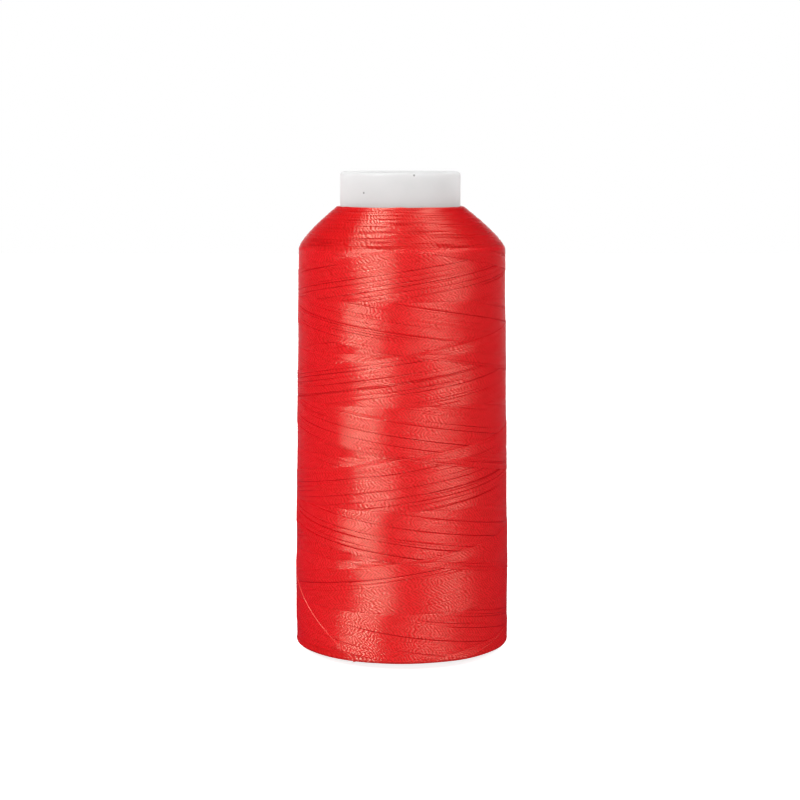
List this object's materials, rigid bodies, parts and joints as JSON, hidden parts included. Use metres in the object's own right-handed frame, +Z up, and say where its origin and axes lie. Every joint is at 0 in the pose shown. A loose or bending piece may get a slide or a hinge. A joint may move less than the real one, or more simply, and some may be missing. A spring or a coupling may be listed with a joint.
{
  "type": "spool of thread",
  "caption": "Large cylindrical spool of cross-wound embroidery thread on a moulded tube, with a sloped shoulder and a base that pulls out to hold the thread's loose end.",
  "frame": {"origin": "centre of the base's underside, on the surface that the spool stands on", "axes": "+Z up along the spool's axis, -Y the front, +X to the right seen from the front"},
  "size_m": [0.0547, 0.0544, 0.1218],
  "materials": {
    "tube_plastic": "white moulded polypropylene, satin",
    "base_plastic": "white moulded polypropylene, satin",
    "thread": "bright red filament embroidery thread with a sheen along the turns"
  },
  "bodies": {
    "base": {"snap_base": "base_plastic"},
    "package": {"core_tube": "tube_plastic", "thread_package": "thread", "thread_tail": "thread"}
  },
  "joints": [
    {"name": "base_pull", "type": "slide", "parent": "base", "child": "package", "axis": [0, 0, 1], "range_m": [0, 0.003]}
  ]
}
